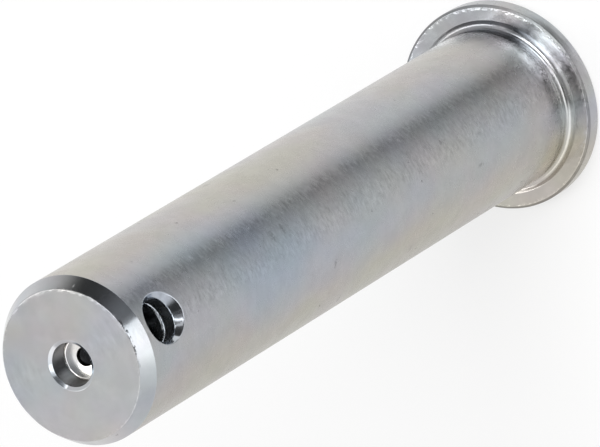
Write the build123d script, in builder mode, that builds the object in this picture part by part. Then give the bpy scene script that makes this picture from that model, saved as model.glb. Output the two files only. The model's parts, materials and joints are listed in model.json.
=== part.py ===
from build123d import *
from math import isclose, radians, tan
import os

# A clevis pin, turned in one piece and standing on its head. All sizes are in millimetres.
# Z is the pin's axis and runs from the head to the tip. The origin is the middle of the
# head's outer face, and the split-pin hole runs along Y.

# Shank: the straight part, from under the head to the tip
shank_diameter = 25.0
shank_length = 122.0
tip_chamfer_length = 2.35
tip_chamfer_angle = 30.0  # from the axis

# Head: a thin round flange, whose seat is the face that bears on the clevis
head_overhang = 3.5  # beyond the shank, all round
head_thickness = 3.0
back_chamfer = 0.4  # 45 degrees, round the outer face
seat_chamfer_width = 0.4
seat_chamfer_height = 0.25

# Relief groove: the turned corner between shank and seat, so that a clevis seats flat
relief_width = 2.5  # along the shank, from the seat
relief_depth = 0.3  # below the shank's surface
relief_ramp_angle = 15.0  # where the groove runs out onto the shank
relief_face_width = 1.1  # across the seat, from the shank's surface
relief_face_angle = 14.0  # where the groove runs out onto the seat
relief_corner_radius = 0.8

# Split-pin hole: across the shank near the tip, countersunk at both ends
split_hole_diameter = 6.5
split_hole_from_tip = 7.8  # the hole's axis to the tip's face
sink_width = 1.2  # the countersink beyond the hole, measured at the shank's crown
sink_angle = 90.0
sink_lip_radius = 0.35  # where the countersink rolls into the hole

# Centre hole: in the tip, from holding the bar in the lathe. It is a short recess with a
# dished floor, and its pilot drilling opens into the split-pin hole.
recess_diameter = 6.4
recess_depth = 3.55
recess_mouth_width = 0.55
recess_mouth_angle = 120.0
recess_floor_angle = 162.0
pilot_diameter = 2.7

# The small rounding that tumbling and plating leave on the outer edges
edge_radius = 0.15

# Radii that follow from these
shank_radius = shank_diameter / 2
tip_face_radius = shank_radius - tip_chamfer_length * tan(radians(tip_chamfer_angle))
head_radius = shank_radius + head_overhang
groove_radius = shank_radius - relief_depth
groove_face_radius = shank_radius + relief_face_width
split_hole_radius = split_hole_diameter / 2
recess_radius = recess_diameter / 2
mouth_radius = recess_radius + recess_mouth_width
pilot_radius = pilot_diameter / 2

# Heights that follow from these
seat_height = head_thickness
tip_height = seat_height + shank_length
chamfer_start = tip_height - tip_chamfer_length
groove_end = seat_height + relief_width
groove_ramp_start = groove_end - relief_depth / tan(radians(relief_ramp_angle))
groove_corner = seat_height - (relief_face_width + relief_depth) * tan(radians(relief_face_angle))
split_hole_height = tip_height - split_hole_from_tip
mouth_floor = tip_height - recess_mouth_width / tan(radians(recess_mouth_angle / 2))
recess_floor = tip_height - recess_depth
pilot_mouth = recess_floor - (recess_radius - pilot_radius) / tan(radians(recess_floor_angle / 2))


with BuildPart() as pin:
    # The turned body: half of its section, revolved about the axis
    with BuildSketch(Plane.XZ) as section:
        with BuildLine():
            Polyline(
                (0, 0),
                (head_radius - back_chamfer, 0),
                (head_radius, back_chamfer),
                (head_radius, seat_height - seat_chamfer_height),
                (head_radius - seat_chamfer_width, seat_height),
                (groove_face_radius, seat_height),
                (groove_radius, groove_corner),
                (groove_radius, groove_ramp_start),
                (shank_radius, groove_end),
                (shank_radius, chamfer_start),
                (tip_face_radius, tip_height),
                (mouth_radius, tip_height),
                (recess_radius, mouth_floor),
                (recess_radius, recess_floor),
                (pilot_radius, pilot_mouth),
                (pilot_radius, split_hole_height),
                (0, split_hole_height),
                close=True,
            )
        make_face()
        relief_corner = section.vertices().sort_by_distance((groove_radius, groove_corner))[0]
        fillet(relief_corner, relief_corner_radius)
        outer_corners = [
            section.vertices().sort_by_distance(corner)[0]
            for corner in (
                (head_radius - back_chamfer, 0),
                (head_radius, back_chamfer),
                (head_radius, seat_height - seat_chamfer_height),
                (head_radius - seat_chamfer_width, seat_height),
                (shank_radius, chamfer_start),
                (tip_face_radius, tip_height),
            )
        ]
        fillet(outer_corners, edge_radius)
    revolve(axis=Axis.Z)

    # The split-pin hole, sunk from the front and from the back of the shank
    front = Plane(origin=(0, -shank_radius, split_hole_height), x_dir=(1, 0, 0), z_dir=(0, -1, 0))
    back = Plane(origin=(0, shank_radius, split_hole_height), x_dir=(1, 0, 0), z_dir=(0, 1, 0))
    with Locations(front, back):
        CounterSinkHole(
            radius=split_hole_radius,
            counter_sink_radius=split_hole_radius + sink_width,
            depth=shank_diameter,
            counter_sink_angle=sink_angle,
        )

    # The lips where the countersinks roll into the hole: its full circles, which face along Y
    circles_along_y = pin.edges().filter_by(GeomType.CIRCLE).filter_by(Plane.XZ)
    sink_lips = circles_along_y.filter_by(lambda edge: isclose(edge.radius, split_hole_radius))
    fillet(sink_lips, sink_lip_radius)

pin.part.label = "pin"

os.makedirs("parts", exist_ok=True)
export_step(pin.part, "parts/pin.step")

print("overall length", tip_height)
print("straight shank", groove_end, "to", chamfer_start)
print("rounded countersink lips", len(sink_lips))
print("volume", round(pin.part.volume, 3), "valid", pin.part.is_valid)
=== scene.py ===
# %% [markdown]
# # A zinc-plated clevis pin
#
# A clevis pin is a short steel axle. It is turned from one bar: a thin flange at one end is its
# head, a countersunk hole near the other end takes a split pin, and a small centre hole in the
# tip is left from holding the bar in the lathe. Last of all it is dipped and zinc plated.
#
# This lesson builds the pin's skin as one closed mesh, worked out with numpy, and then gives each
# part of it the finish that the tool and the plating bath left there. Every size is in metres.
# The measured model comes first, because the new skin has to fit it exactly.

# %% Load the measured frame
import json
from math import cos, pi, radians, sin, tan

import bmesh
import bpy
import numpy as np
from mathutils import Matrix, Vector


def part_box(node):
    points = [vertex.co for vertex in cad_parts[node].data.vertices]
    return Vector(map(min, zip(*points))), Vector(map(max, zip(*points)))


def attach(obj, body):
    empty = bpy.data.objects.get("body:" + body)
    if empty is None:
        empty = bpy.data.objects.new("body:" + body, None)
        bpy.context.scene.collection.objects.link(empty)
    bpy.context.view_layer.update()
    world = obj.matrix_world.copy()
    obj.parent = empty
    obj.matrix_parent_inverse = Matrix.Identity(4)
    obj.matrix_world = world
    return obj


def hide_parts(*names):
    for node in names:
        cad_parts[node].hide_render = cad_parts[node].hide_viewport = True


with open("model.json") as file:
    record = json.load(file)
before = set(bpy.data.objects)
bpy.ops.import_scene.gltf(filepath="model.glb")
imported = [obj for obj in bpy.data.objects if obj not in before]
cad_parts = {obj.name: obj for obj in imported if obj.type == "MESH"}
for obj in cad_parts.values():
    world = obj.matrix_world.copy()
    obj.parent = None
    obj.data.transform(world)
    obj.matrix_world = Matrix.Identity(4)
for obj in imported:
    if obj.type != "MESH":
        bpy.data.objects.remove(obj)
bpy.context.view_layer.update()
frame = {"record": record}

# %% [markdown]
# ## Sizes
#
# What fits something else is read from the measured model: the overall height, the head, the
# straight stretch of the shank and the split-pin hole. The small turned details have no mount of
# their own, so they are repeated here as a drawing would give them, in millimetres.

# %% Sizes read from the measured model
MM = 0.001
mounts = {mount["name"]: mount for mount in frame["record"]["mounts"]}
_, pin_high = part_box("pin")
tip_height = pin_high.z
head_radius = pin_high.x
seat_height = mounts["head_seat"]["pos_m"][2]
shank_radius = mounts["shank"]["dims"]["r_mm"] * MM
shank_middle = mounts["shank"]["pos_m"][2]
shank_half_length = mounts["shank"]["dims"]["length_mm"] * MM / 2
groove_end = shank_middle - shank_half_length
chamfer_start = shank_middle + shank_half_length
split_radius = mounts["split_pin_hole"]["dims"]["r_mm"] * MM
split_height = mounts["split_pin_hole"]["pos_m"][2]
print("shank radius", shank_radius, "from", round(groove_end, 5), "to", round(chamfer_start, 5))

# %% Sizes of the small turned details
back_chamfer = 0.4 * MM
seat_chamfer_width = 0.4 * MM
seat_chamfer_height = 0.25 * MM
relief_depth = 0.3 * MM
relief_ramp_angle = radians(15)
relief_face_width = 1.1 * MM
relief_face_angle = radians(14)
relief_corner_radius = 0.8 * MM
tip_chamfer_angle = radians(30)
sink_width = 1.2 * MM
sink_lip_radius = 0.35 * MM
recess_radius = 3.2 * MM
recess_depth = 3.55 * MM
recess_mouth_width = 0.55 * MM
recess_mouth_angle = radians(120)
recess_floor_angle = radians(162)
pilot_radius = 1.35 * MM
edge_radius = 0.15 * MM

tip_face_radius = shank_radius - (tip_height - chamfer_start) * tan(tip_chamfer_angle)
groove_radius = shank_radius - relief_depth
groove_face_radius = shank_radius + relief_face_width
groove_ramp_start = groove_end - relief_depth / tan(relief_ramp_angle)
groove_corner = seat_height - (relief_face_width + relief_depth) * tan(relief_face_angle)
mouth_radius = recess_radius + recess_mouth_width
mouth_floor = tip_height - recess_mouth_width / tan(recess_mouth_angle / 2)
recess_floor = tip_height - recess_depth
pilot_mouth = recess_floor - (recess_radius - pilot_radius) / tan(recess_floor_angle / 2)
print("tip face radius", round(tip_face_radius, 6), "pilot mouth at", round(pilot_mouth, 6))

# %% [markdown]
# ## The camera
#
# The camera comes before any modelling, so that every later picture is seen from the same place.
# It looks down on the standing pin through a very long lens, which hardly narrows the head, and
# it is turned on its side so that the tip points to the lower left. It is placed by how far it
# stands from the pin and by three angles: round the pin, above the floor, and its roll.

# %% The camera
def put_in_scene(name, data):
    """A new object with that data, linked into the scene."""
    thing = bpy.data.objects.new(name, data)
    bpy.context.scene.collection.objects.link(thing)
    return thing


camera_azimuth = radians(4.5)
camera_elevation = radians(54.1006)
camera_roll = radians(-121.28)
camera_distance = 1.30174
aim = Vector((0.338 * MM, 0.027 * MM, 0.489 * tip_height))

towards_camera = Vector((
    sin(camera_azimuth) * cos(camera_elevation),
    -cos(camera_azimuth) * cos(camera_elevation),
    sin(camera_elevation),
))
camera_data = bpy.data.cameras.new("camera")
camera_data.lens = 540
camera_data.sensor_width = 36
camera = put_in_scene("camera", camera_data)
upright = (-towards_camera).to_track_quat("-Z", "Y").to_matrix().to_4x4()
camera.matrix_world = (
    Matrix.Translation(aim + towards_camera * camera_distance)
    @ upright
    @ Matrix.Rotation(camera_roll, 4, "Z")
)
bpy.context.scene.camera = camera
print("camera at", [round(value, 4) for value in camera.matrix_world.translation])

# %% [markdown]
# ## Drawing a turned section
#
# Almost all of the pin is turned, so its skin is one section carried round the axis. A section
# drawn with sharp corners would look like plastic: on real steel every corner is broken by the
# tool, and the line of light along it is what makes metal look like metal. So each corner gets
# an arc. The radius of an arc may change on the way round, because a corner that is tumbled and
# plated is never even. A boolean and a bevel could cut the same shape, but worked-out arcs put
# every ring of points exactly where the light needs it.

# %% A line that wanders on its way round
def wander(around, fewest, most, seed):
    """A wavy line that closes on itself. It is the sum of cosines that go round a whole number of
    times, from the fewest to the most, each with a random size and phase, divided by its own
    largest value, so that it stays between -1 and 1."""
    chance = np.random.default_rng(seed)
    turns = np.arange(fewest, most + 1)
    phases = chance.uniform(0, 2 * pi, len(turns))
    sizes = chance.normal(size=len(turns))
    line = sizes @ np.cos(turns[:, None] * around + phases[:, None])
    return line / np.abs(line).max()


# %% Arcs and straights of a section
SUPPORT = 0.02 * MM  # a ring this close to each arc keeps its shading off the flat beside it


def corner_arc(before, corner, after, radius, steps):
    """Points on the arc that touches both straights at a corner. With d1 and d2 the directions of
    the two straights, n the normal of d1 on the inner side and turn the angle between them, the
    arc starts at corner - d1 * radius * tan(turn / 2), and a point that has turned by a share of
    the way lies radius * (sin * d1 + (1 - cos) * n) further on. radius holds one value for each
    column, and the result has one row for each point of the arc: (row, column, (r, z))."""
    first = (corner - before) / np.linalg.norm(corner - before)
    second = (after - corner) / np.linalg.norm(after - corner)
    crossed = first[0] * second[1] - first[1] * second[0]
    turn = np.arctan2(abs(crossed), first @ second)
    inner = np.array([-first[1], first[0]]) * np.sign(crossed)
    angle = turn * np.linspace(0, 1, steps + 1)[:, None, None]
    reach = radius[None, :, None]
    start = corner - first * reach * tan(turn / 2)
    return start + reach * (np.sin(angle) * first + (1 - np.cos(angle)) * inner)


def section_rows(corners, columns):
    """Rows of a section from a list of corners: (r, z, arc radius, arc steps, rows on the straight
    after it, finish after it). Straights run from the end of one arc to the start of the next, by
    equal shares, with one more row close to each arc. Returns the rows as (row, column, (r, z))
    and the finish between each row and the next."""
    places = np.array([corner[:2] for corner in corners], float)
    rows, finishes = [], []
    arcs = []
    for index, (r, z, radius, steps, _, _) in enumerate(corners):
        if steps == 0:
            arcs.append(np.broadcast_to(places[index], (1, columns, 2)))
            continue
        radii = np.broadcast_to(radius, (columns,))
        arcs.append(corner_arc(places[index - 1], places[index], places[index + 1], radii, steps))
    for index, (_, _, _, steps, count, finish) in enumerate(corners):
        rows.append(arcs[index])
        finishes += [finish] * steps
        if index + 1 == len(corners):
            break
        start, end = arcs[index][-1], arcs[index + 1][0]
        length = np.linalg.norm(end - start, axis=1)[None, :, None]
        shares = np.linspace(0, 1, count + 1)[1:-1, None, None] * np.ones_like(length)
        if steps:
            shares = np.concatenate([SUPPORT / length, shares])
        if corners[index + 1][3]:
            shares = np.concatenate([shares, 1 - SUPPORT / length])
        rows.append(start + shares * (end - start))
        finishes += [finish] * (len(shares) + 1)
    return np.concatenate(rows), finishes


def carried_round(rows, azimuths):
    """A section carried round the pin's axis: x is r times the cosine of the column's azimuth, y
    is r times its sine, and z is kept."""
    r, z = rows[..., 0], rows[..., 1]
    return np.stack([r * np.cos(azimuths), r * np.sin(azimuths), z], axis=-1)


# %% [markdown]
# ## Collecting surfaces into one skin
#
# The skin is put together from sheets of points, each a plain grid. Where two sheets meet they
# work out the same points, so merging doubles closes the seam. Each sheet says which finish it
# has, and that becomes the face's material.

# %% A place to collect the sheets
FINISHES = [
    "shank", "turned", "seat", "seat_edge", "groove", "tip_face", "rim", "outer_face",
    "bore", "recess_wall", "recess_floor", "pilot",
]
sheets = []


def grid_faces(row_count, column_count, closed=False):
    """The faces of a grid of points: face (i, j) joins rows i and i + 1 and columns j and j + 1,
    and the last column joins the first if the grid is closed."""
    rows = np.arange(row_count - 1)[:, None]
    columns = np.arange(column_count if closed else column_count - 1)[None, :]
    after = (columns + 1) % column_count
    return np.stack([
        rows * column_count + columns,
        rows * column_count + after,
        (rows + 1) * column_count + after,
        (rows + 1) * column_count + columns,
    ], axis=-1)


def add_sheet(points, finishes, closed=False, keep=None):
    """Notes a grid of points (row, column, (x, y, z)) and its faces. finishes names the finish of
    each row of faces, and keep may leave faces out."""
    faces = grid_faces(*points.shape[:2], closed)
    if isinstance(finishes, str):
        finishes = [finishes] * len(faces)
    slots = np.array([FINISHES.index(finish) for finish in finishes])[:, None]
    slots = np.broadcast_to(slots, faces.shape[:2])
    if keep is None:
        keep = np.ones(faces.shape[:2], bool)
    sheets.append((points.reshape(-1, 3), faces[keep], slots[keep]))


# %% [markdown]
# ## How the rings are spaced
#
# The split-pin hole breaks into the shank at the front and at the back. There the turned grid
# has a window, a whole number of its faces wide and high, and a patch of rings round the hole
# fills it. A square of faces has as many points on its edge as the rings have, so the patch
# joins the grid point for point.

# %% Counts that let the sheets meet
COLUMNS = 288  # round the pin
WINDOW = 40  # faces along each side of a window in the shank
RING = 4 * WINDOW  # round the split-pin hole
PILOT_WINDOW = 36  # faces along each side of the window in the hole's wall
PILOT_RING = 4 * PILOT_WINDOW  # round the centre hole, half of COLUMNS

column_step = 2 * pi / COLUMNS
window_half_angle = WINDOW / 2 * column_step
window_half_height = 5.1 * MM
azimuths = -pi / 2 - window_half_angle + column_step * np.arange(COLUMNS)
window_low = split_height - window_half_height
window_high = split_height + window_half_height
assert window_high < chamfer_start - edge_radius
assert PILOT_RING * 2 == COLUMNS
print("one column is", round(shank_radius * column_step / MM, 3), "mm wide on the shank")

# %% [markdown]
# ## The head, the relief groove and the shank
#
# The head's back and rim are chamfered, and its seat is a flat ring that bears on the clevis.
# Between seat and shank runs the relief groove: it cuts a little into both, so that a clevis
# with a sharp-edged hole still sits flat. Where the groove runs out the tool has left a slightly
# uneven line, so those arcs wander the most.

# %% From the middle of the outer face up to the window
def uneven(radius, share, fewest, most, seed, around=azimuths):
    """An arc radius that wanders up and down by a share of itself on the way round."""
    return radius * (1 + share * wander(around, fewest, most, seed))


# Radii of the wide, soft arcs where the groove meets the seat, its own floor and the shank
seat_run = 0.6 * MM
floor_run = 0.8 * MM
shank_run = 1.0 * MM

# A corner is r, z, arc radius, arc steps, rows on the straight after it, and the finish after it
head_corners = [
    (0, 0, 0, 0, 5, "outer_face"),
    (head_radius - back_chamfer, 0, uneven(edge_radius, 0.3, 3, 40, 1), 4, 1, "turned"),
    (head_radius, back_chamfer, uneven(edge_radius, 0.3, 3, 40, 2), 4, 4, "rim"),
    (head_radius, seat_height - seat_chamfer_height, uneven(edge_radius, 0.4, 3, 60, 3), 4, 1, "seat_edge"),
    (head_radius - seat_chamfer_width, seat_height, uneven(edge_radius, 0.4, 3, 60, 4), 4, 6, "seat"),
    (groove_face_radius, seat_height, uneven(seat_run, 0.5, 3, 50, 5), 4, 4, "groove"),
    (groove_radius, groove_corner, relief_corner_radius, 12, 3, "groove"),
    (groove_radius, groove_ramp_start, uneven(floor_run, 0.4, 3, 30, 7), 4, 3, "groove"),
    (shank_radius, groove_end, uneven(shank_run, 0.7, 6, 60, 8), 4, 40, "shank"),
    (shank_radius, window_low, 0, 0, 0, "shank"),
]
head_rows, head_finishes = section_rows(head_corners, COLUMNS)
add_sheet(carried_round(head_rows, azimuths), head_finishes, closed=True)
print("rings from the outer face to the window", len(head_rows))

# %% The stretch of shank beside the windows
beside = np.zeros((WINDOW + 1, COLUMNS, 2))
beside[..., 0] = shank_radius
beside[..., 1] = np.linspace(window_low, window_high, WINDOW + 1)[:, None]
outside_windows = np.ones((WINDOW, COLUMNS), bool)
outside_windows[:, :WINDOW] = False
outside_windows[:, COLUMNS // 2:COLUMNS // 2 + WINDOW] = False
add_sheet(carried_round(beside, azimuths), "shank", closed=True, keep=outside_windows)

# %% [markdown]
# ## The tip
#
# A 30 degree chamfer leads the pin into its clevis. It is cut last and with a sharp tool, so it
# is the brightest face of all. The tip's flat face carries on to the centre hole. A small circle
# needs fewer columns than a large one, so halfway across the face every second column ends, in
# a strip of three triangles for each two columns.

# %% From the window to the middle of the tip's face
halving_outer = 0.66 * tip_face_radius
halving_inner = 0.60 * tip_face_radius
tip_corners = [
    (shank_radius, window_high, 0, 0, 2, "shank"),
    (shank_radius, chamfer_start, uneven(edge_radius, 0.4, 3, 70, 11), 5, 10, "turned"),
    (tip_face_radius, tip_height, uneven(edge_radius, 0.6, 5, 70, 12), 6, 6, "tip_face"),
    (halving_outer, tip_height, 0, 0, 0, "tip_face"),
]
tip_rows, tip_finishes = section_rows(tip_corners, COLUMNS)
add_sheet(carried_round(tip_rows, azimuths), tip_finishes, closed=True)

# %% The strip where every second column ends
ring_azimuths = azimuths[::2]
outer_ring = carried_round(np.full((COLUMNS, 2), (halving_outer, tip_height)), azimuths)
inner_ring = carried_round(np.full((PILOT_RING, 2), (halving_inner, tip_height)), ring_azimuths)
inner = COLUMNS + np.arange(PILOT_RING)
outer = 2 * np.arange(PILOT_RING)
next_inner = COLUMNS + (np.arange(PILOT_RING) + 1) % PILOT_RING
next_outer = (outer + 2) % COLUMNS
strip = np.concatenate([
    np.stack([inner, outer, outer + 1], axis=-1),
    np.stack([inner, outer + 1, next_inner], axis=-1),
    np.stack([next_inner, outer + 1, next_outer], axis=-1),
])
strip_slots = np.full(len(strip), FINISHES.index("tip_face"))
sheets.append((np.concatenate([outer_ring, inner_ring]), strip, strip_slots))
print("triangles in the strip", len(strip))

# %% [markdown]
# ## The centre hole
#
# The centre drill leaves a chamfered mouth, a short straight recess and a nearly flat floor, with
# a pilot in its middle. The pilot is long enough to break into the split-pin hole, so its tube
# ends on that hole's round wall and not on a flat ring.

# %% The mouth, the recess and the floor
mouth_arc = uneven(0.12 * MM, 0.5, 2, 20, 21, ring_azimuths)
wall_arc = uneven(0.10 * MM, 0.3, 2, 12, 22, ring_azimuths)
floor_arc = uneven(0.25 * MM, 0.1, 2, 8, 23, ring_azimuths)
pilot_arc = uneven(0.08 * MM, 0.3, 2, 8, 24, ring_azimuths)
pilot_start = pilot_mouth - 0.3 * MM  # the last flat ring, before the pilot follows the hole's wall
recess_corners = [
    (halving_inner, tip_height, 0, 0, 5, "tip_face"),
    (mouth_radius, tip_height, mouth_arc, 4, 4, "turned"),
    (recess_radius, mouth_floor, wall_arc, 5, 10, "recess_wall"),
    (recess_radius, recess_floor, floor_arc, 6, 6, "recess_floor"),
    (pilot_radius, pilot_mouth, pilot_arc, 4, 1, "pilot"),
    (pilot_radius, pilot_start, 0, 0, 0, "pilot"),
]
recess_rows, recess_finishes = section_rows(recess_corners, PILOT_RING)
recess = carried_round(recess_rows, ring_azimuths)
add_sheet(recess, recess_finishes, closed=True)

# %% The pilot, down to the wall of the split-pin hole
pilot_top = recess[-1]
wall_height = split_height + np.sqrt(split_radius**2 - pilot_top[:, 0] ** 2)
shares = np.array([0, 0.3, 0.6, 0.85, 1])[:, None]
pilot = np.repeat(pilot_top[None], len(shares), axis=0)
pilot[..., 2] = (1 - shares) * pilot_top[:, 2] + shares * wall_height
add_sheet(pilot, "pilot", closed=True)
print("pilot ends between", round(wall_height.min(), 5), "and", round(wall_height.max(), 5))

# %% [markdown]
# ## The split-pin hole
#
# Seen along its axis the hole is a set of rings. From the middle of the pin outwards they climb
# the straight wall, roll over a small lip onto the 45 degree countersink, cross the soft edge
# where the countersink meets the round shank, and spread out to the window's square edge. The
# edge of the countersink is where two heights are equal, the shank's and the cone's, so it is
# found by solving for the radius at which they agree. Taking the lower of the two, rounded over
# a small band, gives one smooth surface across it.

# %% Points in the plane of the hole
TURN_START = radians(-135)  # the direction of a window's lower left corner
hole_angles = TURN_START + 2 * pi / RING * np.arange(RING)


def window_walk(across, up):
    """The points on a window's edge, anticlockwise from its lower left corner, for the places of
    the grid's columns across it and of the grid's rows up it."""
    sides = [
        np.stack([across[:-1], np.full(len(across) - 1, up[0])], axis=-1),
        np.stack([np.full(len(up) - 1, across[-1]), up[:-1]], axis=-1),
        np.stack([across[:0:-1], np.full(len(across) - 1, up[-1])], axis=-1),
        np.stack([np.full(len(up) - 1, across[0]), up[:0:-1]], axis=-1),
    ]
    return np.concatenate(sides)


window_steps = np.linspace(-1, 1, WINDOW + 1)
window_edge = window_walk(
    shank_radius * np.sin(window_steps * window_half_angle),
    window_steps * window_half_height,
)

cone_height = shank_radius - split_radius - sink_width  # the 45 degree cone's height at radius 0
leaning = 1 + np.cos(hole_angles) ** 2
root = np.sqrt(cone_height**2 - leaning * (cone_height**2 - shank_radius**2))
mouth_at = (root - cone_height) / leaning
print("countersink mouth", round(mouth_at.min() / MM, 2), "to", round(mouth_at.max() / MM, 2), "mm")


def on_circle(radius):
    """Points round the hole's axis at the ring's angles, as (across, up)."""
    return radius[..., None] * np.stack([np.cos(hole_angles), np.sin(hole_angles)], axis=-1)


def soft_lower(one, other, band):
    """The lower of two heights, rounded where they differ by less than the band: the plain
    minimum less (band - difference) squared, divided by 4 bands."""
    near = np.maximum(band - np.abs(one - other), 0)
    return np.minimum(one, other) - near**2 / (4 * band)


def sunk_height(places):
    """How far from the pin's middle plane the sunk shank lies at (across, up): the lower of the
    shank's own height, the root of its radius squared less across squared, and the cone's, which
    is the distance to the hole's axis plus the cone's height at radius 0."""
    across = places[..., 0]
    shank_height = np.sqrt(shank_radius**2 - across**2)
    cone = np.linalg.norm(places, axis=-1) + cone_height
    return soft_lower(shank_height, cone, 0.15 * MM)


# %% The rings from the window's edge to the lip
def growing(count, growth):
    """Shares from 0 to 1 whose steps grow by the same factor."""
    return (growth ** np.arange(count + 1) - 1) / (growth**count - 1)


lip_start = split_radius + sink_lip_radius * (1 - cos(radians(45)))
outwards = growing(13, 1.33)[:, None, None]
spread = (1 - outwards) * on_circle(mouth_at) + outwards * window_edge
inwards = growing(10, 1.3)[1:, None]
cone_rings = on_circle(mouth_at + inwards * (lip_start - mouth_at))
sunk = np.concatenate([spread[::-1], cone_rings])
sunk_out = sunk_height(sunk)
sunk_finishes = ["shank"] * (len(spread) - 3) + ["turned"] * (len(cone_rings) + 2)

# %% The lip and the wall
roll = np.radians(np.linspace(45, 0, 7))[1:, None]
lip_centre = lip_start + cone_height - sink_lip_radius * sin(radians(45))
lip = on_circle(split_radius + sink_lip_radius * (1 - np.cos(roll)) + 0 * hole_angles)
lip_out = lip_centre + sink_lip_radius * np.sin(roll) + 0 * hole_angles
pilot_half_length = 2.1 * MM
# How far from the pin's middle the rings of the wall lie
wall_out = np.array([lip_centre - SUPPORT, 9 * MM, 6 * MM, 4 * MM, 3 * MM, pilot_half_length])
wall = on_circle(np.full((len(wall_out), RING), split_radius))
mouth_places = np.concatenate([sunk, lip, wall])
mouth_out = np.concatenate([sunk_out, lip_out, np.repeat(wall_out[:, None], RING, axis=1)])
mouth_finishes = sunk_finishes + ["turned"] * len(lip) + ["bore"] * len(wall)
for facing in (-1, 1):
    mouth = np.stack([
        mouth_places[..., 0],
        facing * mouth_out,
        split_height + mouth_places[..., 1],
    ], axis=-1)
    add_sheet(mouth, mouth_finishes, closed=True)
print("rings in one mouth", len(mouth_places))

# %% [markdown]
# ## Where the pilot breaks into the split-pin hole
#
# The same trick works once more inside: the hole's wall has a window at its top, and rings lead
# from the window's edge to the pilot's round end. Every point of the patch stays on the wall.

# %% The middle stretch of the hole's wall
along = np.linspace(-pilot_half_length, pilot_half_length, PILOT_WINDOW + 1)
around = on_circle(np.full(RING, split_radius))
middle = np.empty((PILOT_WINDOW + 1, RING, 3))
middle[..., 0] = around[:, 0]
middle[..., 1] = along[:, None]
middle[..., 2] = split_height + around[:, 1]
top_column = int(round((pi / 2 - TURN_START) / (2 * pi / RING)))
first_column = top_column - PILOT_WINDOW // 2
has_wall = np.ones((PILOT_WINDOW, RING), bool)
has_wall[:, first_column:first_column + PILOT_WINDOW] = False
add_sheet(middle, "bore", closed=True, keep=has_wall)

# %% The patch round the pilot's end
window_angles = hole_angles[first_column:first_column + PILOT_WINDOW + 1]
pilot_edge = window_walk(split_radius * np.cos(window_angles[::-1]), along)
first_ring = int(round((ring_azimuths[0] - TURN_START) / (2 * pi / PILOT_RING)))
pilot_edge = np.roll(pilot_edge, -first_ring, axis=0)
outwards = growing(8, 1.4)[:, None, None]
breach_places = (1 - outwards) * pilot[-1][:, :2] + outwards * pilot_edge
breach_height = split_height + np.sqrt(split_radius**2 - breach_places[..., 0] ** 2)
breach = np.concatenate([breach_places, breach_height[..., None]], axis=-1)
add_sheet(breach, "bore", closed=True)
print("rings round the pilot's end", len(breach))

# %% [markdown]
# ## One closed skin
#
# All sheets go into one mesh. Doubles are merged first, which closes the seams and turns the
# ring of points on the axis into one. Then the faces are turned outwards. A skin is closed when
# every edge has exactly two faces, and that is counted, because a gap is easy to miss by eye.

# %% Join the sheets
points = np.concatenate([sheet[0] for sheet in sheets])
starts = np.cumsum([0] + [len(sheet[0]) for sheet in sheets[:-1]])
faces = []
for sheet, start in zip(sheets, starts):
    faces += (sheet[1] + start).tolist()
slots = np.concatenate([sheet[2] for sheet in sheets]).astype(np.int32)

skin = bpy.data.meshes.new("pin_skin")
skin.from_pydata(points.tolist(), [], faces)
skin.polygons.foreach_set("material_index", slots)
bench = bmesh.new()
bench.from_mesh(skin)
bmesh.ops.remove_doubles(bench, verts=bench.verts, dist=0.0005 * MM)
bmesh.ops.recalc_face_normals(bench, faces=bench.faces)
open_edges = sum(len(edge.link_faces) != 2 for edge in bench.edges)
skin_volume = bench.calc_volume(signed=True)
bench.to_mesh(skin)
bench.free()
skin.shade_smooth()
triangles = sum(len(face.vertices) - 2 for face in skin.polygons)
print("points", len(skin.vertices), "triangles", triangles, "open edges", open_edges)
print("volume", round(skin_volume / MM**3, 1), "cubic millimetres")
assert open_edges == 0

# %% Put the skin on the pin
pin = put_in_scene("pin_skin", skin)
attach(pin, "root")
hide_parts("pin")
print(pin.name, "stands for the measured pin")

# %% [markdown]
# ## Zinc plating, bare of paint
#
# All of the pin has the same thin coat of zinc, but not the same look. Where the bar was drawn
# or tumbled the zinc is satin, and where the tool cut last it is nearly a mirror. So there is one
# recipe with a few settings, used once for each finish. An image of scratched metal could be laid
# over the skin, but it would show seams and stretch over the tip. The recipe is made of nodes
# that work the pattern out from the place on the pin, so it has no seam.

# %% Small helpers for node trees
def add(tree, kind, inputs=None, **settings):
    """Adds a shader node, sets its settings, and fills its inputs with values or links."""
    node = tree.nodes.new("ShaderNode" + kind)
    for name, value in settings.items():
        setattr(node, name, value)
    for name, value in (inputs or {}).items():
        if isinstance(value, bpy.types.NodeSocket):
            tree.links.new(value, node.inputs[name])
        else:
            node.inputs[name].default_value = value
    return node


def maths(tree, operation, one, other=0.0, third=0.0):
    """One step of arithmetic on single numbers."""
    return add(tree, "Math", {0: one, 1: other, 2: third}, operation=operation).outputs[0]


def times(tree, one, other):
    """The product of two numbers."""
    return maths(tree, "MULTIPLY", one, other)


def plus(tree, one, other):
    """The sum of two numbers."""
    return maths(tree, "ADD", one, other)


def minus(tree, one, other):
    """The difference of two numbers."""
    return maths(tree, "SUBTRACT", one, other)


def times_plus(tree, one, other, third):
    """The product of two numbers, plus a third."""
    return maths(tree, "MULTIPLY_ADD", one, other, third)


def apart(tree, one, other):
    """How far apart two numbers are."""
    return maths(tree, "ABSOLUTE", minus(tree, one, other))


def vector_maths(tree, operation, one, other):
    """One step of arithmetic on two vectors, or on a vector and a scale."""
    second = "Scale" if operation == "SCALE" else 1
    return add(tree, "VectorMath", {0: one, second: other}, operation=operation).outputs[0]


def length_of(tree, vector):
    """The length of a vector."""
    return add(tree, "VectorMath", {0: vector}, operation="LENGTH").outputs["Value"]


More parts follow.
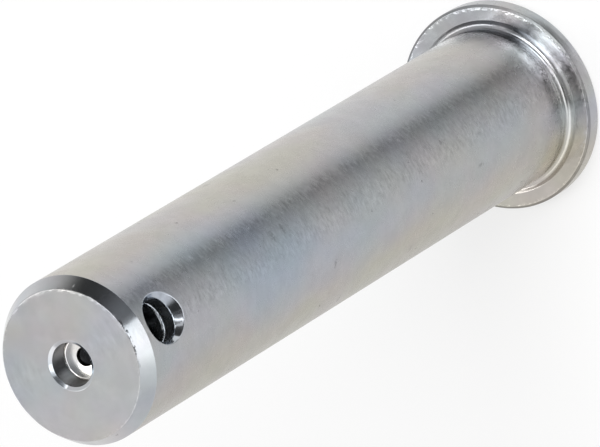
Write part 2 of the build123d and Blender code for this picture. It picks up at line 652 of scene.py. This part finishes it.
def rescale(tree, value, low, high, new_low, new_high, smooth=True):
    """Carries the range low to high over to new_low to new_high, and clamps outside it."""
    kind = "SMOOTHSTEP" if smooth else "LINEAR"
    places = {"Value": value, 1: low, 2: high, 3: new_low, 4: new_high}
    return add(tree, "MapRange", places, interpolation_type=kind).outputs[0]


# %% Colours and materials
def colour_ramp(tree, share, stops, interpolation="LINEAR"):
    """Turns a share into a colour. Each stop is a pair: the share, and the colour there."""
    ramp = add(tree, "ValToRGB", {0: share})
    ramp.color_ramp.interpolation = interpolation
    while len(ramp.color_ramp.elements) < len(stops):
        ramp.color_ramp.elements.new(0.5)
    for element, (position, colour) in zip(ramp.color_ramp.elements, stops):
        element.position = position
        element.color = (*colour, 1)
    return ramp.outputs[0]


def new_material(name):
    """A new material, and its node tree, in which only the output is left."""
    material = bpy.data.materials.new(name)
    material.use_nodes = True
    tree = material.node_tree
    tree.nodes.remove(tree.nodes["Principled BSDF"])
    return material, tree


def show(tree, shader):
    """Puts a shader on the material's surface."""
    tree.links.new(shader, tree.nodes["Material Output"].inputs["Surface"])


def blend(tree, share, one, other, kind="MIX"):
    """Mixes two colours by a share."""
    colours = {0: share, 6: one, 7: other}
    return add(tree, "Mix", colours, data_type="RGBA", blend_type=kind).outputs[2]


# %% [markdown]
# ## Patterns that follow the pin
#
# Every pattern starts from the place on the pin in millimetres, taken from Object coordinates.
# Two numbers are worked out from it. The radius is the distance from the pin's axis. The side is
# x divided by the radius, the sine of the angle from the front: 0 in front, 1 on the +X side.

# %% Where a point lies on the pin
def own_places(tree):
    """The place in millimetres, its parts x, y and z, the radius, which is the length of
    (x, y, 0), and the side, which is x divided by the radius."""
    metres = add(tree, "TexCoord").outputs["Object"]
    place = vector_maths(tree, "SCALE", metres, 1 / MM)
    x, y, z = add(tree, "SeparateXYZ", {0: place}).outputs
    radius = length_of(tree, add(tree, "CombineXYZ", {0: x, 1: y}).outputs[0])
    side = maths(tree, "DIVIDE", x, maths(tree, "MAXIMUM", radius, 0.5))
    return {"place": place, "x": x, "y": y, "z": z, "radius": radius, "side": side}


def share_by_side(tree, places, stops):
    """A share that changes round the pin. Each stop is a pair: the side, and the share there."""
    around = rescale(tree, places["side"], -1.0, 1.0, 0.0, 1.0, smooth=False)
    return colour_ramp(tree, around, [((side + 1) / 2, (share,) * 3) for side, share in stops])


def near_ring(tree, places, radius, height, width):
    """1 on a ring round the pin's axis and 0 further than the width from it, in millimetres."""
    ring = add(tree, "CombineXYZ", {0: places["radius"], 1: places["z"]}).outputs[0]
    away = length_of(tree, vector_maths(tree, "SUBTRACT", ring, (radius, height, 0)))
    return rescale(tree, away, 0.0, width, 1.0, 0.0)


# %% Tool marks
def tool_marks(tree, places, across, along):
    """Noise drawn out round the axis. It has four dimensions: the radius and the height, which
    change fast, so that a mark is narrow, and x and y, which change slowly, so that it is long.
    across and along are the marks for each millimetre in those two directions."""
    quick_radius = times(tree, places["radius"], across)
    quick_height = times(tree, places["z"], across)
    slow_x = times(tree, places["x"], along)
    slow_y = times(tree, places["y"], along)
    vector = add(tree, "CombineXYZ", {0: quick_radius, 1: quick_height, 2: slow_x}).outputs[0]
    noise = {"Vector": vector, "W": slow_y, "Scale": 1.0, "Detail": 2.0, "Roughness": 0.6}
    return add(tree, "TexNoise", noise, noise_dimensions="4D").outputs["Fac"]


def leaning_normal(tree, places, amount, share):
    """The surface's normal, leaned along the circle round the axis, towards (-y, x, 0), by the
    amount times how far the share is from one half. The amount may be a link. A mark leans the
    surface a little, and that is what breaks the edge of a reflection into fine hairs."""
    across = add(tree, "CombineXYZ", {0: times(tree, places["y"], -1.0), 1: places["x"]})
    circle = add(tree, "VectorMath", {0: across.outputs[0]}, operation="NORMALIZE").outputs[0]
    lean = times(tree, minus(tree, share, 0.5), amount)
    leaning = vector_maths(tree, "SCALE", circle, lean)
    upright = add(tree, "TexCoord").outputs["Normal"]
    summed = vector_maths(tree, "ADD", upright, leaning)
    turn = add(tree, "VectorTransform", {0: summed}, vector_type="NORMAL",
               convert_from="OBJECT", convert_to="WORLD")
    return turn.outputs[0]


# %% Clouds and nicks
def cloud(tree, places, size, detail=2.0, seed=0.0, squeeze=1.0):
    """Plain noise whose patches are about that many millimetres wide. squeeze below 1 draws the
    patches out along the pin."""
    place = vector_maths(tree, "MULTIPLY", places["place"], (1, 1, squeeze))
    noise = {"Vector": place, "W": seed, "Scale": 1 / size, "Detail": detail}
    return add(tree, "TexNoise", noise, noise_dimensions="4D").outputs["Fac"]


def nicks(tree, places, spacing, size, share, squeeze=(1.0, 1.0, 1.0)):
    """Small marks, 1 inside a mark and 0 outside. Space is split into cells of that spacing, each
    with one point, and a mark is where the nearest point is closer than its size. The places are
    shaken by fine noise first, which makes the marks ragged, and a share of the cells has one."""
    shake = add(tree, "TexNoise", {"Vector": places["place"], "Scale": 1.6 / size, "Detail": 3.0})
    centred = vector_maths(tree, "SUBTRACT", shake.outputs["Color"], (0.5, 0.5, 0.5))
    shaken = vector_maths(tree, "ADD", places["place"], vector_maths(tree, "SCALE", centred, 3.0 * size))
    squeezed = vector_maths(tree, "MULTIPLY", shaken, squeeze)
    cells = add(tree, "TexVoronoi", {"Vector": squeezed, "Scale": 1 / spacing})
    chosen = add(tree, "SeparateColor", {0: cells.outputs["Color"]}).outputs[0]
    has_mark = maths(tree, "LESS_THAN", chosen, share)
    inside = rescale(tree, cells.outputs["Distance"], 0.4 * size / spacing, size / spacing, 1.0, 0.0)
    return times(tree, inside, has_mark)


# %% [markdown]
# ## The colour of the zinc
#
# Plated parts are dipped once more, into a clear passivate. It dries to a film about as thin as a
# wavelength of light, so it has the colours of oil on water, only much paler: blue where it is
# thin, grey and lilac where it is thicker, and cream or straw where it is thickest. One number,
# the tone, stands for the thickness, and a ramp turns it into the colour.

# %% Tones of the passivated zinc
TONES = [
    (0.0, (0.36, 0.41, 0.47)),  # blue
    (0.3, (0.41, 0.43, 0.455)),  # blue-grey
    (0.55, (0.44, 0.435, 0.435)),  # grey with a breath of lilac
    (0.8, (0.462, 0.442, 0.412)),  # cream
    (1.0, (0.465, 0.444, 0.39)),  # straw
]
GREENISH = (0.985, 1.0, 0.975, 1)
PINKISH = (1.0, 0.975, 0.995, 1)
BLUE_PLACE = (0.5, -12.5, 91.0)  # where the film on the shank is bluest, in millimetres


def film_tone(tree, places, cool, warm):
    """The tone's place on the ramp. The film is thin, and so blue, where the pin faced the middle
    of the bath, and thicker on both sides: the tone goes from cool to warm with the side squared,
    and it is warmest on the -X side. Near the head it drains to grey, and there only the -X side
    stays warm. Wide patches and one bluest place are added to that."""
    side = places["side"]
    tone = rescale(tree, times(tree, side, side), 0.15, 0.75, cool, warm)
    tone = plus(tree, tone, rescale(tree, side, -0.95, -0.4, 0.15, 0.0))
    near_head = rescale(tree, places["z"], 45.0, 85.0, 0.65, 0.0)
    head_tone = rescale(tree, side, -0.85, -0.3, 1.1, 0.5)
    tone = times_plus(tree, minus(tree, head_tone, tone), near_head, tone)
    patches = cloud(tree, places, 11.0, seed=1.0, squeeze=0.6)
    tone = plus(tree, tone, rescale(tree, patches, 0.3, 0.7, -0.18, 0.18))
    from_blue = vector_maths(tree, "SUBTRACT", places["place"], BLUE_PLACE)
    away = length_of(tree, vector_maths(tree, "MULTIPLY", from_blue, (1.1, 0.3, 0.36)))
    return plus(tree, tone, rescale(tree, away, 2.0, 9.0, -0.28, 0.0))


def zinc_colour(tree, places, cool, warm):
    """The film's colour, tinged a little greenish or pinkish in wide patches."""
    film = colour_ramp(tree, film_tone(tree, places, cool, warm), TONES)
    tinge = rescale(tree, cloud(tree, places, 7.0, seed=5.0, squeeze=0.7), 0.35, 0.65, 0.0, 1.0)
    return blend(tree, 1.0, film, blend(tree, tinge, GREENISH, PINKISH), "MULTIPLY")


# %% [markdown]
# ## What handling leaves, and painted shade
#
# Pins lie in a box with a hundred others. That leaves nicks everywhere, and on the shank one band
# of fine hairs where the pins rubbed along each other. Painted shade is added as well: the zinc's colour
# is darkened in the split-pin hole, the pilot and the recess wall, in the relief groove and on the shank
# beside it, where shade falls, and on a cut ring one side is painted lighter or darker than the other.

# %% Hairs of the rubbed band
RUBBED_BAND = 0.13  # the side of the middle of the band


def rubbed_share(tree, places):
    """How strongly a place is rubbed: 1 in the band, and 0.1 away from it."""
    away = apart(tree, places["side"], RUBBED_BAND)
    return rescale(tree, away, 0.2, 0.38, 1.0, 0.1)


# %% Nicks, scuffs and dull places
def wear(tree, places, nick_share):
    """Small nicks, and with them the larger ones: long ones along the pin, and round scuffs."""
    small = nicks(tree, places, 4.0, 0.26, nick_share)
    scuffs = nicks(tree, places, 6.0, 0.6, nick_share, (0.5, 0.5, 1.3))
    long = nicks(tree, places, 7.0, 0.6, nick_share, (1.2, 1.2, 0.45))
    return small, maths(tree, "MAXIMUM", long, scuffs)


# Painted shade in the split-pin hole: its colour darkens from the ledge towards the pin's middle.
DARK_BORE = 6.0  # the split-pin hole is darkest up to here, in millimetres from the pin's middle
BORE_PAINTED_SHADE = 0.04


def painted_shading(tree, places, shade, sides, painted_shade_bands, ledge):
    """The shade with painted light and shade added. sides paints the zinc lighter or darker by its side. A
    band of painted shade is (radius, height, width, how dark by its side). In the split-pin hole painted
    shade takes the zinc from bright at the ledge to nearly black at the dark bore."""
    # Painted light and shade: by the side, in bands round the pin, and down the split-pin hole.
    if sides:
        shade = times(tree, shade, share_by_side(tree, places, sides))
    for radius, height, width, darkness_by_side in painted_shade_bands:
        ring = near_ring(tree, places, radius, height, width)
        dull = times(tree, ring, share_by_side(tree, places, darkness_by_side))
        shade = times(tree, shade, minus(tree, 1.0, dull))
    if ledge is not None:
        depth = apart(tree, places["y"], 0.0)
        shade = times(tree, shade, rescale(tree, depth, DARK_BORE, ledge, BORE_PAINTED_SHADE, 1.0))
    return shade


# %% Edges that the tool left ragged
def ragged(tree, places, height, ragged_rings, ledge):
    """The height with bites out of the rings, each (radius, height, width, depth), and with the
    fine uneven ridge that the drill left at the ledge in the split-pin hole."""
    for radius, ring_height, width, depth in ragged_rings:
        ring = near_ring(tree, places, radius, ring_height, width)
        bites = rescale(tree, cloud(tree, places, 0.8, 3.0, seed=9.0), 0.42, 0.62, 0.0, -depth)
        height = times_plus(tree, ring, bites, height)
    if ledge is not None:
        uneven_ridge = rescale(tree, cloud(tree, places, 1.5, seed=4.0), 0.35, 0.6, 0.08, 0.3)
        away = apart(tree, apart(tree, places["y"], 0.0), ledge)
        ridge = rescale(tree, away, 0.0, 0.28, 1.0, 0.0)
        height = times_plus(tree, ridge, uneven_ridge, height)
    return height


# %% The recipe
NICK_DARKENS = 0.35
NICK_ROUGHENS = 0.2
NICK_DEPTH = 0.03  # in millimetres
SCUFF_DARKENS = 0.28
SCUFF_DEPTH = 0.012  # in millimetres


def zinc(name, level=1.0, cool=0.3, warm=0.5, roughness=0.26, spread=0.03, marks_depth=0.003,
         across=2.0, along=0.4, lean=0.02, hair=0.4, nick_share=0.0, wave=0.0,
         ragged_rings=(), sides=(), painted_shade_bands=(), ledge=None):
    """One finish. level brightens or darkens the zinc. cool and warm are its tone in front and on
    the sides. roughness goes up and down by spread. The tool marks are marks_depth millimetres
    deep, across and along say how close they lie, lean how far they tip the surface round the
    pin, and hair how much they change its shade. nick_share is how many nicks there are, and wave
    how many millimetres a cut face swells where the tool chattered."""
    material = bpy.data.materials.new(name)
    material.use_nodes = True
    tree = material.node_tree
    steel = tree.nodes["Principled BSDF"]
    steel.inputs["Metallic"].default_value = 1.0
    places = own_places(tree)
    marks = tool_marks(tree, places, across, along)
    rubbed = rubbed_share(tree, places)
    small, large = wear(tree, places, nick_share)

    off_middle = times(tree, minus(tree, marks, 0.5), rubbed)
    clouds = rescale(tree, cloud(tree, places, 2.0, 3.0, seed=7.0), 0.3, 0.7, 0.97 * level, 1.03 * level)
    shade = times(tree, clouds, times_plus(tree, off_middle, hair, 1.0))
    shade = times(tree, shade, times_plus(tree, small, -NICK_DARKENS, 1.0))
    shade = times(tree, shade, times_plus(tree, large, -SCUFF_DARKENS, 1.0))
    # Painted light and shade: by side, in bands and down the split-pin hole.
    shade = painted_shading(tree, places, shade, sides, painted_shade_bands, ledge)
    grey = add(tree, "CombineColor", {0: shade, 1: shade, 2: shade}).outputs[0]
    colour = blend(tree, 1.0, zinc_colour(tree, places, cool, warm), grey, "MULTIPLY")
    tree.links.new(colour, steel.inputs["Base Color"])

    patchy = rescale(tree, cloud(tree, places, 3.0, 4.0, seed=3.0), 0.3, 0.7, -spread, spread)
    rougher = times_plus(tree, small, NICK_ROUGHENS, roughness)
    tree.links.new(plus(tree, patchy, rougher), steel.inputs["Roughness"])

    height = times(tree, marks, marks_depth)
    height = times_plus(tree, small, -NICK_DEPTH, height)
    height = times_plus(tree, large, -SCUFF_DEPTH, height)
    height = times_plus(tree, cloud(tree, places, 1.6, 1.0, seed=6.0), wave, height)
    height = ragged(tree, places, height, ragged_rings, ledge)
    leaning = leaning_normal(tree, places, times(tree, rubbed, lean), marks)
    bump = add(tree, "Bump", {"Strength": 1.0, "Distance": MM, "Height": height, "Normal": leaning})
    tree.links.new(bump.outputs[0], steel.inputs["Normal"])
    return material


# %% [markdown]
# ## One finish for each tool
#
# The shank is the drawn bar, satin and with most of the rubbing. The chamfer, the mouths and the
# lips are cut last, and are almost mirrors. The faces are turned, with rings that the light
# spreads along. The corner of the relief groove, the pilot, the recess wall and the middle of the
# split-pin hole get painted shade, and the seat, the groove, the recess floor and the split-pin hole's
# mouth get painted light. The outer edge of the seat is knocked and dull. One finish for the whole pin
# would be simpler, but then the tip and the shank would look as if one tool had made them.

# %% Rings that the finishes share, as radius, height, width and depth in millimetres, and bands of painted shade
tip_edge = (tip_face_radius / MM, tip_height / MM, 0.5, 0.02)
chamfer_edge = (shank_radius / MM, chamfer_start / MM, 0.4, 0.02)
seat_edge = (head_radius / MM - 0.3, seat_height / MM, 0.7, 0.035)
groove_edge = (shank_radius / MM, groove_end / MM, 1.4, 0.06)
# Bands of painted shade, as radius, height, width and how dark by side: they darken the groove's corner and
# floor and the shank beside it.
groove_corner_shade = (
    groove_radius / MM + 0.4, seat_height / MM - 0.18, 0.65,
    [(-0.42, 0.0), (-0.28, 0.9), (0.1, 0.9), (0.3, 0.27)],
)
groove_floor_shade = (
    groove_radius / MM, seat_height / MM + 1.2, 2.2,
    [(0.05, 0.0), (0.2, 0.5), (0.45, 0.5), (0.57, 0.8), (0.7, 0.75), (0.82, 0.6), (0.95, 0.5)],
)
above_groove_shade = (
    shank_radius / MM, groove_end / MM + 1.1, 3.0,
    [(-0.08, 0.0), (0.08, 0.2), (0.22, 0.6), (0.42, 0.35), (0.57, 0.0)],
)
groove_end_shade = (
    shank_radius / MM, groove_end / MM - 0.1, 1.9,
    [(0.1, 0.0), (0.25, 0.3), (0.45, 0.3), (0.57, 0.5), (0.7, 0.7), (0.95, 0.65)],
)
drill_ledge = 9.2  # from the pin's middle to the fine ridge in the split-pin hole

# %% The finishes
finish_materials = {
    # The bands of painted shade darken the shank's colour beside the relief groove.
    "shank": zinc(
        "satin_shank", warm=0.85, roughness=0.27, marks_depth=0.004, across=2.1, along=1.1,
        lean=0.25, hair=1.0, nick_share=0.6, wave=0.01,
        ragged_rings=[chamfer_edge, groove_edge], painted_shade_bands=[above_groove_shade, groove_end_shade],
    ),
    "turned": zinc(
        "bright_turned", level=1.18, cool=0.2, warm=0.35, roughness=0.13, spread=0.02,
        marks_depth=0.001, across=1.8, along=0.5, lean=0.05, nick_share=0.4, wave=0.004,
        ragged_rings=[tip_edge, seat_edge],
    ),
    # level brightens the seat's colour as painted light, and sides paint it lighter or darker round the
    # pin.
    "seat": zinc(
        "turned_seat", level=2.1, warm=0.4, roughness=0.18, spread=0.06, across=1.6, along=0.15,
        lean=0.05, hair=0.7, nick_share=0.4, wave=0.06, ragged_rings=[seat_edge, groove_edge],
        sides=[
            (-0.27, 0.53), (-0.1, 0.4), (0.08, 0.53), (0.2, 0.95), (0.44, 1.0), (0.56, 0.45),
            (0.63, 0.65), (0.7, 0.85), (0.8, 0.6), (0.9, 0.48),
        ],
    ),
    "seat_edge": zinc(
        "knocked_edge", level=0.6, roughness=0.38, spread=0.05, along=0.6, lean=0.1, hair=0.7,
        nick_share=0.8, wave=0.02, ragged_rings=[seat_edge],
    ),
    # level brightens the groove's colour as painted light, and sides and the bands paint its shade.
    "groove": zinc(
        "turned_groove", level=1.9, warm=0.4, roughness=0.25, spread=0.06, marks_depth=0.006,
        across=1.6, along=0.15, lean=0.1, hair=0.9, nick_share=0.6, wave=0.05,
        ragged_rings=[groove_edge],
        painted_shade_bands=[groove_corner_shade, groove_floor_shade, groove_end_shade],
        sides=[(-0.8, 0.6), (-0.35, 0.76), (-0.05, 1.0), (0.57, 1.0), (0.7, 0.35), (0.8, 0.6)],
    ),
    "tip_face": zinc(
        "faced_tip", level=1.14, cool=0.35, warm=0.45, roughness=0.22, spread=0.02,
        marks_depth=0.0006, across=1.2, hair=0.3, nick_share=0.1, ragged_rings=[tip_edge],
    ),
    "rim": zinc(
        "satin_rim", level=1.06, warm=0.6, roughness=0.28, along=0.6, lean=0.2, hair=0.7,
        nick_share=0.6, wave=0.02, ragged_rings=[seat_edge],
    ),
    "outer_face": zinc(
        "faced_head", cool=0.45, warm=0.6, roughness=0.25, along=0.3, lean=0.08, nick_share=0.5,
    ),
    # level brightens the hole's colour near its mouth as painted light, and the ledge paints it darker
    # towards the middle.
    "bore": zinc(
        "drilled_bore", level=1.7, cool=0.35, warm=0.45, across=3.0, lean=0.1, nick_share=0.05,
        ledge=drill_ledge,
    ),
    # level and sides paint the recess wall's shade, darkest on the -X side.
    "recess_wall": zinc(
        "recess_wall", level=0.55, warm=0.45, roughness=0.4, marks_depth=0.002, across=3.0,
        sides=[(-0.8, 0.26), (-0.2, 0.5), (0.1, 0.8), (0.5, 1.0)],
    ),
    # level brightens the recess floor's colour as painted light.
    "recess_floor": zinc(
        "recess_floor", level=2.15, cool=0.4, roughness=0.17, across=3.0, along=0.2, lean=0.05,
        hair=0.6, nick_share=0.1, wave=0.01,
    ),
    # level paints the pilot nearly black, as painted shade.
    "pilot": zinc("deep_pilot", level=0.12, cool=0.4, roughness=0.4, marks_depth=0.002),
}
for finish in FINISHES:
    skin.materials.append(finish_materials[finish])
print("materials", [material.name for material in skin.materials])

# %% [markdown]
# ## Floor, sky and softboxes
#
# Shiny metal has no look of its own: it shows what stands round it. From this camera the shank
# mirrors the floor, the tip's face mirrors the sky behind the pin, and the chamfer mirrors the
# horizon. So the floor and the sky are pale and even, which keeps the zinc pale. A large softbox
# in front, on the +X side, gives the pin its broad gleam and its shadow, and two small ones, in
# front and behind, light the flat faces. As in a studio, the camera doesn't see the lamps.

# %% What the camera and shiny surfaces see
def seen_directly(tree):
    """1 where the camera or a shiny surface looks, and 0 where a matt surface gathers light."""
    path = add(tree, "LightPath").outputs
    direct = maths(tree, "MAXIMUM", path["Is Camera Ray"], path["Is Glossy Ray"])
    return maths(tree, "MAXIMUM", direct, path["Is Transmission Ray"])


# %% The floor
FLOOR_HALF = 6.0
WHITE_SHARE = 0.6  # how far the paper looks plain white; the rest is matt and takes the shadow

floor_mesh = bpy.data.meshes.new("floor")
floor_corners = [(-1, -1, 0), (1, -1, 0), (1, 1, 0), (-1, 1, 0)]
floor_mesh.from_pydata((FLOOR_HALF * np.array(floor_corners)).tolist(), [], [(0, 1, 2, 3)])
floor = put_in_scene("floor", floor_mesh)

paper, tree = new_material("white_paper")
matt = add(tree, "BsdfDiffuse", {"Color": (0.9, 0.9, 0.9, 1)}).outputs[0]
white = add(tree, "Emission", {"Color": (1, 1, 1, 1), "Strength": 1.0}).outputs[0]
whiteness = times(tree, seen_directly(tree), WHITE_SHARE)
show(tree, add(tree, "MixShader", {0: whiteness, 1: matt, 2: white}).outputs[0])
floor_mesh.materials.append(paper)

# %% The sky
SKY_LIGHT = 0.62
SKY_SEEN = 0.9

world = bpy.data.worlds.new("studio")
bpy.context.scene.world = world
world.use_nodes = True
tree = world.node_tree
sky_level = times_plus(tree, seen_directly(tree), SKY_SEEN - SKY_LIGHT, SKY_LIGHT)
tree.links.new(sky_level, tree.nodes["Background"].inputs["Strength"])
tree.nodes["Background"].inputs["Color"].default_value = (1, 1, 1, 1)
print("sky", SKY_LIGHT, "as light,", SKY_SEEN, "where it is seen")


# %% Softboxes
LAMP_DISTANCE = 0.8
LAMP_TARGET = Vector((0, 0, 0.05))


def softbox(name, azimuth, elevation, width, depth, watts):
    """A rectangular lamp that faces the pin and isn't seen by the camera. Azimuth 0 is +X and 90
    is +Y, in degrees. With azimuth a and elevation e it stands towards
    (cos a cos e, sin a cos e, sin e)."""
    data = bpy.data.lights.new(name, "AREA")
    data.shape = "RECTANGLE"
    data.size = width
    data.size_y = depth
    data.energy = watts
    lamp = put_in_scene(name, data)
    a, e = radians(azimuth), radians(elevation)
    outwards = Vector((cos(a) * cos(e), sin(a) * cos(e), sin(e)))
    lamp.location = LAMP_TARGET + outwards * LAMP_DISTANCE
    lamp.rotation_mode = "QUATERNION"
    lamp.rotation_quaternion = outwards.to_track_quat("Z", "Y")
    lamp.visible_camera = False
    print(name, "at", [round(value, 3) for value in lamp.location])


softbox("key_softbox", -46, 44, 0.72, 0.6, 5.0)
softbox("left_softbox", -115, 64, 0.42, 0.14, 0.37)
softbox("back_softbox", 64, 57, 0.22, 0.4, 0.75)

# %% [markdown]
# ## Smoked films and glowing cards
#
# In an all-white room a bright pin loses its shape. So in a studio dark cards stand beside shiny
# metal, for its edges to mirror, and white ones where an edge should gleam. Real cards also throw
# shadows. Here they are strips of film round the pin that only shiny surfaces see, so the floor
# stays clean. Their density changes softly along the strip, because a hard edge would show in the
# satin shank as a line.

# %% A strip of film
FILM_STEPS = 40


def film_strip(name, low_ring, high_ring, first_azimuth, last_azimuth):
    """A strip round the pin between two rings, each (distance from the axis, height). A point of
    a ring lies at (distance * cos, distance * sin, height) of its azimuth."""
    turn = np.radians(np.linspace(first_azimuth, last_azimuth, FILM_STEPS + 1))
    rings = [
        np.column_stack([distance * np.cos(turn), distance * np.sin(turn), np.full(len(turn), height)])
        for distance, height in (low_ring, high_ring)
    ]
    quads = grid_faces(len(rings), len(turn)).reshape(-1, 4)
    mesh = bpy.data.meshes.new(name)
    mesh.from_pydata(np.concatenate(rings).tolist(), [], quads.tolist())
    film = put_in_scene(name, mesh)
    film.visible_camera = False
    film.visible_shadow = False
    film.visible_diffuse = False
    return mesh


def smoked_film(name, low_ring, high_ring, fades, centre=(0.0, 0.0), glow=0.0):
    """A strip of smoked film. fades lists pairs (azimuth in degrees, how dense). The azimuth of
    a place is the angle of its x and y, less those of the centre. It is measured from the
    film's own middle, so that a film may pass the place where an angle jumps. A film with a glow
    is a white card and shines that strongly."""
    first_azimuth, last_azimuth = fades[0][0], fades[-1][0]
    width = last_azimuth - first_azimuth
    half_angle = radians(width / 2)
    middle_angle = radians((first_azimuth + last_azimuth) / 2)
    smoke, tree = new_material(name)
    place = add(tree, "TexCoord").outputs["Object"]
    from_centre = vector_maths(tree, "SUBTRACT", place, (*centre, 0))
    to_turn = {"Vector": from_centre, "Angle": -middle_angle}
    turned = add(tree, "VectorRotate", to_turn, rotation_type="Z_AXIS").outputs[0]
    x, y, _ = add(tree, "SeparateXYZ", {0: turned}).outputs
    angle = maths(tree, "ARCTAN2", y, x)
    share = rescale(tree, angle, -half_angle, half_angle, 0.0, 1.0, smooth=False)
    stops = [((azimuth - first_azimuth) / width, (dense,) * 3) for azimuth, dense in fades]
    density = colour_ramp(tree, share, stops, "B_SPLINE")
    clear = add(tree, "BsdfTransparent").outputs[0]
    if glow:
        film = add(tree, "Emission", {"Color": (1, 1, 1, 1), "Strength": glow}).outputs[0]
    else:
        film = add(tree, "BsdfDiffuse", {"Color": (0.02, 0.02, 0.02, 1)}).outputs[0]
    show(tree, add(tree, "MixShader", {0: density, 1: clear, 2: film}).outputs[0])
    film_strip(name, low_ring, high_ring, first_azimuth, last_azimuth).materials.append(smoke)


# %% The films round the pin
# On the floor, for the dark band along the front of the shank. Its azimuths are measured from
# halfway between the axis and the side that faces the camera, where the mirrored rays spread from
focus = (0.5 * shank_radius * sin(camera_azimuth), -0.5 * shank_radius * cos(camera_azimuth))
smoked_film("floor_film", (0.0168, 0.0003), (0.17, 0.0003), [
    (-275, 0.0), (-262, 0.14), (-240, 0.16), (-205, 0.12), (-165, 0.1), (-145, 0.07), (-132, 0.04),
    (-118, 0.08), (-105, 0.15), (-92, 0.25), (-78, 0.38), (-66, 0.5), (-56, 0.69), (-48, 0.66),
    (-40, 0.4), (-30, 0.14), (-20, 0.03), (-5, 0.0),
], focus)

# Low down on the +X side, for the dark side of the tip's chamfer
smoked_film("side_film", (0.3, 0.001), (0.5, 0.23), [
    (-79, 0.78), (-62, 0.77), (-48, 0.88), (-35, 0.97), (-15, 0.98), (-6, 0.9), (2, 0.65),
    (12, 0.35), (24, 0.2), (40, 0.0),
])

# Overhead and high on the +X side, for the relief groove and the seat
smoked_film("high_film", (0.27, 0.54), (0.01, 0.6), [
    (-85, 0.0), (-78, 0.85), (-20, 0.9), (35, 0.85), (55, 0.0),
])
smoked_film("back_film", (0.47, 0.37), (0.27, 0.54), [
    (-33, 0.0), (-27, 0.7), (-12, 0.75), (-3, 0.2), (6, 0.0),
])

# Round the camera, for the countersink and the walls of the holes
smoked_film("low_camera_film", (0.57, 0.2), (0.42, 0.37), [
    (-130, 0.0), (-122, 0.5), (-115, 0.95), (-95, 0.99), (-80, 0.97), (-74, 0.0),
])
smoked_film("high_camera_film", (0.42, 0.37), (0.28, 0.53), [
    (-146, 0.0), (-136, 0.6), (-126, 0.95), (-95, 0.99), (-80, 0.97), (-74, 0.0),
])

# Close to the split-pin hole, with a slit that leaves one thin gleam in its countersink
smoked_film("hole_film", (0.065, 0.134), (0.05, 0.16), [
    (-84, 0.95), (-68, 0.95), (-63, 0.9), (-60, 0.0), (-57, 0.9), (-52, 0.95), (-40, 0.95),
], (0.0, -shank_radius))

# Behind the tip, for a soft shade across its face
smoked_film("tip_film", (0.075, 0.18), (0.045, 0.225), [
    (68, 0.0), (77, 0.18), (86, 0.14), (96, 0.05), (106, 0.0),
])

# %% The cards that glow
# Low in front, for the gleam on the tip's chamfer
smoked_film("white_card", (0.56, 0.05), (0.56, 0.24), [
    (-158, 0.0), (-146, 0.06), (-132, 0.25), (-124, 0.5), (-117, 0.85), (-101, 1.0),
    (-86, 1.0), (-80, 0.95), (-76, 0.6), (-71, 0.0),
], glow=2.1)

# Behind the pin, for the far edges of the tip
smoked_film("back_card", (0.5, 0.2), (0.5, 0.48), [
    (76, 0.0), (86, 1.0), (112, 1.0), (122, 0.0),
], glow=1.7)

# High on the -X side, for the relief groove
smoked_film("side_card", (0.575, 0.48), (0.305, 0.685), [
    (-232, 0.0), (-218, 1.0), (-152, 1.0), (-140, 0.0),
], glow=1.7)

# %% [markdown]
# ## Finish
#
# The colours are shown as they are, with no film look.

# %% Colours
bpy.context.scene.view_settings.view_transform = "Standard"
